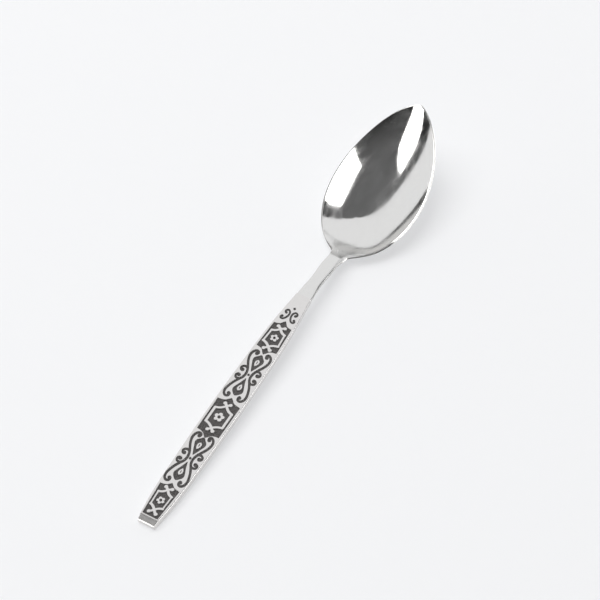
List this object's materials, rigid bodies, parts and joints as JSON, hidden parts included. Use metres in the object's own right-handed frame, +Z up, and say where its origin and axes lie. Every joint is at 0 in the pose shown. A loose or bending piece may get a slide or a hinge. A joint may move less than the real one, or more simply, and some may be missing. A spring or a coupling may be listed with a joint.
{
  "type": "teaspoon",
  "caption": "Teaspoon with a pointed egg-shaped bowl, a plain narrow neck and a slim handle with struck scrollwork, rosettes and darkened recesses.",
  "frame": {"origin": "middle of the spoon's length and width, on the table that it lies on", "axes": "+X from the handle's end towards the bowl's tip, +Z up, the bowl open upwards"},
  "size_m": [0.155, 0.0302, 0.0228],
  "materials": {
    "polished_steel": "mirror polished stainless steel with faint hairline scratches",
    "struck_steel": "struck relief, satin in the folds and polished on the high spots",
    "dark_recess": "dull, finely grained dark layer"
  },
  "bodies": {
    "root": {"bowl": "polished_steel", "neck": "polished_steel", "handle": "struck_steel", "end_panel_black": "dark_recess", "lower_scroll_black": "dark_recess", "middle_panel_black": "dark_recess", "upper_scroll_black": "dark_recess", "upper_panel_black": "dark_recess", "top_scroll_black": "dark_recess"}
  },
  "joints": []
}
